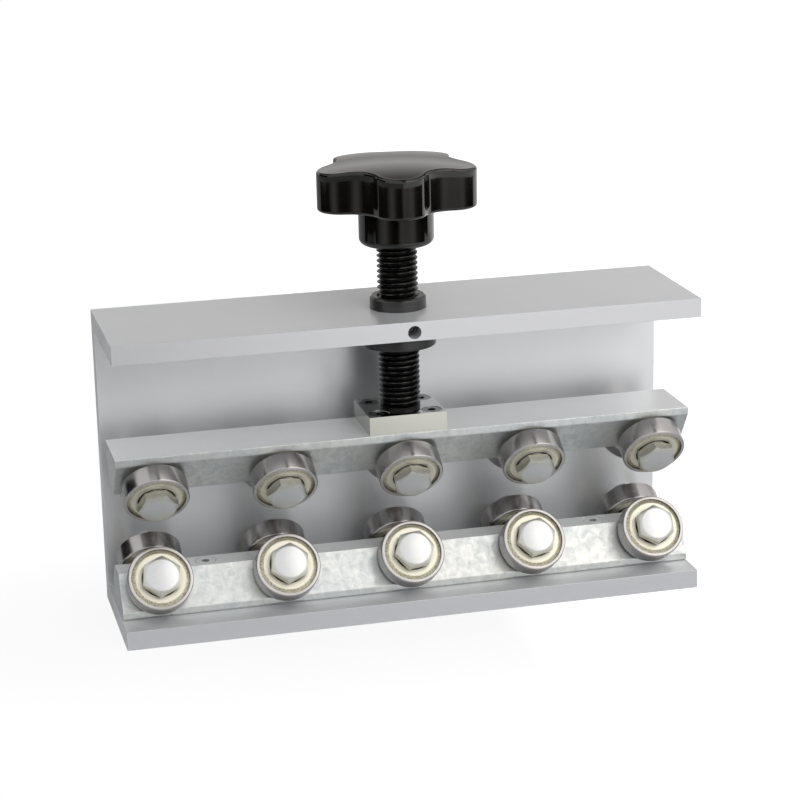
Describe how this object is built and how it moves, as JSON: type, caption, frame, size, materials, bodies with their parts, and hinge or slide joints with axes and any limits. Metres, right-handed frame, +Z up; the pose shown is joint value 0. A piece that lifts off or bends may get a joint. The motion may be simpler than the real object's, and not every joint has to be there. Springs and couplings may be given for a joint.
{
  "type": "tube straightener",
  "caption": "Bench tube straightener: rows of V-set ball-bearing rollers in an open channel, the upper row lowered on the tube by a star-knob screw.",
  "frame": {"origin": "middle of the channel's bottom face", "axes": "+X along the tube, +Y towards the channel's back plate, +Z up along the screw"},
  "size_m": [0.2, 0.0568, 0.1544],
  "materials": {
    "channel": "satin, clear anodised",
    "bar": "zinc plated, semi-bright",
    "bolt": "zinc plated, bright",
    "bearing": "ground and polished bearing steel",
    "balls": "polished bearing steel, brass cage",
    "screw": "plain steel, satin",
    "plate": "ground, polished top",
    "bush": "blackened steel, satin",
    "spindle": "black oxide, oiled",
    "knob": "moulded black phenolic, glossy",
    "insert": "turned brass"
  },
  "bodies": {
    "frame": {"channel_frame": "channel", "nut_bush": "bush", "nut_grub_screw": "bush", "lower_bar": "bar", "lower_bar_screws": "screw", "lower_bolts": "bolt", "lower_spacers": "bolt", "lower_inner_rings": "bearing"},
    "carriage": {"upper_bar": "bar", "foot_plate": "plate", "foot_plate_screws": "screw", "upper_bolts": "bolt", "upper_spacers": "bolt", "upper_inner_rings": "bearing"},
    "spindle": {"spindle": "spindle", "knob_insert": "insert", "star_knob": "knob"},
    "lower_front_roller_1": {"lower_front_roller_1": "bearing"},
    "lower_front_balls_1": {"lower_front_balls_1": "balls"},
    "lower_front_roller_2": {"lower_front_roller_2": "bearing"},
    "lower_front_balls_2": {"lower_front_balls_2": "balls"},
    "lower_front_roller_3": {"lower_front_roller_3": "bearing"},
    "lower_front_balls_3": {"lower_front_balls_3": "balls"},
    "lower_front_roller_4": {"lower_front_roller_4": "bearing"},
    "lower_front_balls_4": {"lower_front_balls_4": "balls"},
    "lower_front_roller_5": {"lower_front_roller_5": "bearing"},
    "lower_front_balls_5": {"lower_front_balls_5": "balls"},
    "lower_rear_roller_1": {"lower_rear_roller_1": "bearing"},
    "lower_rear_balls_1": {"lower_rear_balls_1": "balls"},
    "lower_rear_roller_2": {"lower_rear_roller_2": "bearing"},
    "lower_rear_balls_2": {"lower_rear_balls_2": "balls"},
    "lower_rear_roller_3": {"lower_rear_roller_3": "bearing"},
    "lower_rear_balls_3": {"lower_rear_balls_3": "balls"},
    "lower_rear_roller_4": {"lower_rear_roller_4": "bearing"},
    "lower_rear_balls_4": {"lower_rear_balls_4": "balls"},
    "lower_rear_roller_5": {"lower_rear_roller_5": "bearing"},
    "lower_rear_balls_5": {"lower_rear_balls_5": "balls"},
    "upper_front_roller_1": {"upper_front_roller_1": "bearing"},
    "upper_front_balls_1": {"upper_front_balls_1": "balls"},
    "upper_front_roller_2": {"upper_front_roller_2": "bearing"},
    "upper_front_balls_2": {"upper_front_balls_2": "balls"},
    "upper_front_roller_3": {"upper_front_roller_3": "bearing"},
    "upper_front_balls_3": {"upper_front_balls_3": "balls"},
    "upper_front_roller_4": {"upper_front_roller_4": "bearing"},
    "upper_front_balls_4": {"upper_front_balls_4": "balls"},
    "upper_front_roller_5": {"upper_front_roller_5": "bearing"},
    "upper_front_balls_5": {"upper_front_balls_5": "balls"},
    "upper_rear_roller_1": {"upper_rear_roller_1": "bearing"},
    "upper_rear_balls_1": {"upper_rear_balls_1": "balls"},
    "upper_rear_roller_2": {"upper_rear_roller_2": "bearing"},
    "upper_rear_balls_2": {"upper_rear_balls_2": "balls"},
    "upper_rear_roller_3": {"upper_rear_roller_3": "bearing"},
    "upper_rear_balls_3": {"upper_rear_balls_3": "balls"},
    "upper_rear_roller_4": {"upper_rear_roller_4": "bearing"},
    "upper_rear_balls_4": {"upper_rear_balls_4": "balls"},
    "upper_rear_roller_5": {"upper_rear_roller_5": "bearing"},
    "upper_rear_balls_5": {"upper_rear_balls_5": "balls"}
  },
  "joints": [
    {"name": "carriage_travel", "type": "slide", "parent": "frame", "child": "carriage", "axis": [0, 0, 1], "range_m": [-0.008, 0.02]},
    {"name": "spindle_turn", "type": "hinge", "parent": "carriage", "child": "spindle", "pos_m": [0, -0.00356, 0.06289], "axis": [0, 0, 1], "range_deg": [-1600, 4000]},
    {"name": "lower_front_roller_1_spin", "type": "hinge", "parent": "frame", "child": "lower_front_roller_1", "pos_m": [-0.0866, -0.01077, 0.01658], "axis": [0, -0.829, 0.5592], "continuous": true},
    {"name": "lower_front_balls_1_spin", "type": "hinge", "parent": "frame", "child": "lower_front_balls_1", "pos_m": [-0.0866, -0.01077, 0.01658], "axis": [0, -0.829, 0.5592], "continuous": true},
    {"name": "lower_front_roller_2_spin", "type": "hinge", "parent": "frame", "child": "lower_front_roller_2", "pos_m": [-0.0433, -0.01077, 0.01658], "axis": [0, -0.829, 0.5592], "continuous": true},
    {"name": "lower_front_balls_2_spin", "type": "hinge", "parent": "frame", "child": "lower_front_balls_2", "pos_m": [-0.0433, -0.01077, 0.01658], "axis": [0, -0.829, 0.5592], "continuous": true},
    {"name": "lower_front_roller_3_spin", "type": "hinge", "parent": "frame", "child": "lower_front_roller_3", "pos_m": [0, -0.01077, 0.01658], "axis": [0, -0.829, 0.5592], "continuous": true},
    {"name": "lower_front_balls_3_spin", "type": "hinge", "parent": "frame", "child": "lower_front_balls_3", "pos_m": [0, -0.01077, 0.01658], "axis": [0, -0.829, 0.5592], "continuous": true},
    {"name": "lower_front_roller_4_spin", "type": "hinge", "parent": "frame", "child": "lower_front_roller_4", "pos_m": [0.0433, -0.01077, 0.01658], "axis": [0, -0.829, 0.5592], "continuous": true},
    {"name": "lower_front_balls_4_spin", "type": "hinge", "parent": "frame", "child": "lower_front_balls_4", "pos_m": [0.0433, -0.01077, 0.01658], "axis": [0, -0.829, 0.5592], "continuous": true},
    {"name": "lower_front_roller_5_spin", "type": "hinge", "parent": "frame", "child": "lower_front_roller_5", "pos_m": [0.0866, -0.01077, 0.01658], "axis": [0, -0.829, 0.5592], "continuous": true},
    {"name": "lower_front_balls_5_spin", "type": "hinge", "parent": "frame", "child": "lower_front_balls_5", "pos_m": [0.0866, -0.01077, 0.01658], "axis": [0, -0.829, 0.5592], "continuous": true},
    {"name": "lower_rear_roller_1_spin", "type": "hinge", "parent": "frame", "child": "lower_rear_roller_1", "pos_m": [-0.0866, 0.00365, 0.01658], "axis": [0, 0.829, 0.5592], "continuous": true},
    {"name": "lower_rear_balls_1_spin", "type": "hinge", "parent": "frame", "child": "lower_rear_balls_1", "pos_m": [-0.0866, 0.00365, 0.01658], "axis": [0, 0.829, 0.5592], "continuous": true},
    {"name": "lower_rear_roller_2_spin", "type": "hinge", "parent": "frame", "child": "lower_rear_roller_2", "pos_m": [-0.0433, 0.00365, 0.01658], "axis": [0, 0.829, 0.5592], "continuous": true},
    {"name": "lower_rear_balls_2_spin", "type": "hinge", "parent": "frame", "child": "lower_rear_balls_2", "pos_m": [-0.0433, 0.00365, 0.01658], "axis": [0, 0.829, 0.5592], "continuous": true},
    {"name": "lower_rear_roller_3_spin", "type": "hinge", "parent": "frame", "child": "lower_rear_roller_3", "pos_m": [0, 0.00365, 0.01658], "axis": [0, 0.829, 0.5592], "continuous": true},
    {"name": "lower_rear_balls_3_spin", "type": "hinge", "parent": "frame", "child": "lower_rear_balls_3", "pos_m": [0, 0.00365, 0.01658], "axis": [0, 0.829, 0.5592], "continuous": true},
    {"name": "lower_rear_roller_4_spin", "type": "hinge", "parent": "frame", "child": "lower_rear_roller_4", "pos_m": [0.0433, 0.00365, 0.01658], "axis": [0, 0.829, 0.5592], "continuous": true},
    {"name": "lower_rear_balls_4_spin", "type": "hinge", "parent": "frame", "child": "lower_rear_balls_4", "pos_m": [0.0433, 0.00365, 0.01658], "axis": [0, 0.829, 0.5592], "continuous": true},
    {"name": "lower_rear_roller_5_spin", "type": "hinge", "parent": "frame", "child": "lower_rear_roller_5", "pos_m": [0.0866, 0.00365, 0.01658], "axis": [0, 0.829, 0.5592], "continuous": true},
    {"name": "lower_rear_balls_5_spin", "type": "hinge", "parent": "frame", "child": "lower_rear_balls_5", "pos_m": [0.0866, 0.00365, 0.01658], "axis": [0, 0.829, 0.5592], "continuous": true},
    {"name": "upper_front_roller_1_spin", "type": "hinge", "parent": "carriage", "child": "upper_front_roller_1", "pos_m": [-0.0866, -0.01077, 0.05281], "axis": [0, -0.829, -0.5592], "continuous": true},
    {"name": "upper_front_balls_1_spin", "type": "hinge", "parent": "carriage", "child": "upper_front_balls_1", "pos_m": [-0.0866, -0.01077, 0.05281], "axis": [0, -0.829, -0.5592], "continuous": true},
    {"name": "upper_front_roller_2_spin", "type": "hinge", "parent": "carriage", "child": "upper_front_roller_2", "pos_m": [-0.0433, -0.01077, 0.05281], "axis": [0, -0.829, -0.5592], "continuous": true},
    {"name": "upper_front_balls_2_spin", "type": "hinge", "parent": "carriage", "child": "upper_front_balls_2", "pos_m": [-0.0433, -0.01077, 0.05281], "axis": [0, -0.829, -0.5592], "continuous": true},
    {"name": "upper_front_roller_3_spin", "type": "hinge", "parent": "carriage", "child": "upper_front_roller_3", "pos_m": [0, -0.01077, 0.05281], "axis": [0, -0.829, -0.5592], "continuous": true},
    {"name": "upper_front_balls_3_spin", "type": "hinge", "parent": "carriage", "child": "upper_front_balls_3", "pos_m": [0, -0.01077, 0.05281], "axis": [0, -0.829, -0.5592], "continuous": true},
    {"name": "upper_front_roller_4_spin", "type": "hinge", "parent": "carriage", "child": "upper_front_roller_4", "pos_m": [0.0433, -0.01077, 0.05281], "axis": [0, -0.829, -0.5592], "continuous": true},
    {"name": "upper_front_balls_4_spin", "type": "hinge", "parent": "carriage", "child": "upper_front_balls_4", "pos_m": [0.0433, -0.01077, 0.05281], "axis": [0, -0.829, -0.5592], "continuous": true},
    {"name": "upper_front_roller_5_spin", "type": "hinge", "parent": "carriage", "child": "upper_front_roller_5", "pos_m": [0.0866, -0.01077, 0.05281], "axis": [0, -0.829, -0.5592], "continuous": true},
    {"name": "upper_front_balls_5_spin", "type": "hinge", "parent": "carriage", "child": "upper_front_balls_5", "pos_m": [0.0866, -0.01077, 0.05281], "axis": [0, -0.829, -0.5592], "continuous": true},
    {"name": "upper_rear_roller_1_spin", "type": "hinge", "parent": "carriage", "child": "upper_rear_roller_1", "pos_m": [-0.0866, 0.00365, 0.05281], "axis": [0, 0.829, -0.5592], "continuous": true},
    {"name": "upper_rear_balls_1_spin", "type": "hinge", "parent": "carriage", "child": "upper_rear_balls_1", "pos_m": [-0.0866, 0.00365, 0.05281], "axis": [0, 0.829, -0.5592], "continuous": true},
    {"name": "upper_rear_roller_2_spin", "type": "hinge", "parent": "carriage", "child": "upper_rear_roller_2", "pos_m": [-0.0433, 0.00365, 0.05281], "axis": [0, 0.829, -0.5592], "continuous": true},
    {"name": "upper_rear_balls_2_spin", "type": "hinge", "parent": "carriage", "child": "upper_rear_balls_2", "pos_m": [-0.0433, 0.00365, 0.05281], "axis": [0, 0.829, -0.5592], "continuous": true},
    {"name": "upper_rear_roller_3_spin", "type": "hinge", "parent": "carriage", "child": "upper_rear_roller_3", "pos_m": [0, 0.00365, 0.05281], "axis": [0, 0.829, -0.5592], "continuous": true},
    {"name": "upper_rear_balls_3_spin", "type": "hinge", "parent": "carriage", "child": "upper_rear_balls_3", "pos_m": [0, 0.00365, 0.05281], "axis": [0, 0.829, -0.5592], "continuous": true},
    {"name": "upper_rear_roller_4_spin", "type": "hinge", "parent": "carriage", "child": "upper_rear_roller_4", "pos_m": [0.0433, 0.00365, 0.05281], "axis": [0, 0.829, -0.5592], "continuous": true},
    {"name": "upper_rear_balls_4_spin", "type": "hinge", "parent": "carriage", "child": "upper_rear_balls_4", "pos_m": [0.0433, 0.00365, 0.05281], "axis": [0, 0.829, -0.5592], "continuous": true},
    {"name": "upper_rear_roller_5_spin", "type": "hinge", "parent": "carriage", "child": "upper_rear_roller_5", "pos_m": [0.0866, 0.00365, 0.05281], "axis": [0, 0.829, -0.5592], "continuous": true},
    {"name": "upper_rear_balls_5_spin", "type": "hinge", "parent": "carriage", "child": "upper_rear_balls_5", "pos_m": [0.0866, 0.00365, 0.05281], "axis": [0, 0.829, -0.5592], "continuous": true}
  ],
  "couplings": [
    {"joint": "spindle_turn", "follows": "carriage_travel", "rad_per_m": 3490.7},
    {"joint": "lower_front_balls_1_spin", "follows": "lower_front_roller_1_spin", "ratio": 0.6323},
    {"joint": "lower_front_balls_2_spin", "follows": "lower_front_roller_2_spin", "ratio": 0.6323},
    {"joint": "lower_front_balls_3_spin", "follows": "lower_front_roller_3_spin", "ratio": 0.6323},
    {"joint": "lower_front_balls_4_spin", "follows": "lower_front_roller_4_spin", "ratio": 0.6323},
    {"joint": "lower_front_balls_5_spin", "follows": "lower_front_roller_5_spin", "ratio": 0.6323},
    {"joint": "lower_rear_balls_1_spin", "follows": "lower_rear_roller_1_spin", "ratio": 0.6323},
    {"joint": "lower_rear_balls_2_spin", "follows": "lower_rear_roller_2_spin", "ratio": 0.6323},
    {"joint": "lower_rear_balls_3_spin", "follows": "lower_rear_roller_3_spin", "ratio": 0.6323},
    {"joint": "lower_rear_balls_4_spin", "follows": "lower_rear_roller_4_spin", "ratio": 0.6323},
    {"joint": "lower_rear_balls_5_spin", "follows": "lower_rear_roller_5_spin", "ratio": 0.6323},
    {"joint": "upper_front_balls_1_spin", "follows": "upper_front_roller_1_spin", "ratio": 0.6323},
    {"joint": "upper_front_balls_2_spin", "follows": "upper_front_roller_2_spin", "ratio": 0.6323},
    {"joint": "upper_front_balls_3_spin", "follows": "upper_front_roller_3_spin", "ratio": 0.6323},
    {"joint": "upper_front_balls_4_spin", "follows": "upper_front_roller_4_spin", "ratio": 0.6323},
    {"joint": "upper_front_balls_5_spin", "follows": "upper_front_roller_5_spin", "ratio": 0.6323},
    {"joint": "upper_rear_balls_1_spin", "follows": "upper_rear_roller_1_spin", "ratio": 0.6323},
    {"joint": "upper_rear_balls_2_spin", "follows": "upper_rear_roller_2_spin", "ratio": 0.6323},
    {"joint": "upper_rear_balls_3_spin", "follows": "upper_rear_roller_3_spin", "ratio": 0.6323},
    {"joint": "upper_rear_balls_4_spin", "follows": "upper_rear_roller_4_spin", "ratio": 0.6323},
    {"joint": "upper_rear_balls_5_spin", "follows": "upper_rear_roller_5_spin", "ratio": 0.6323}
  ]
}
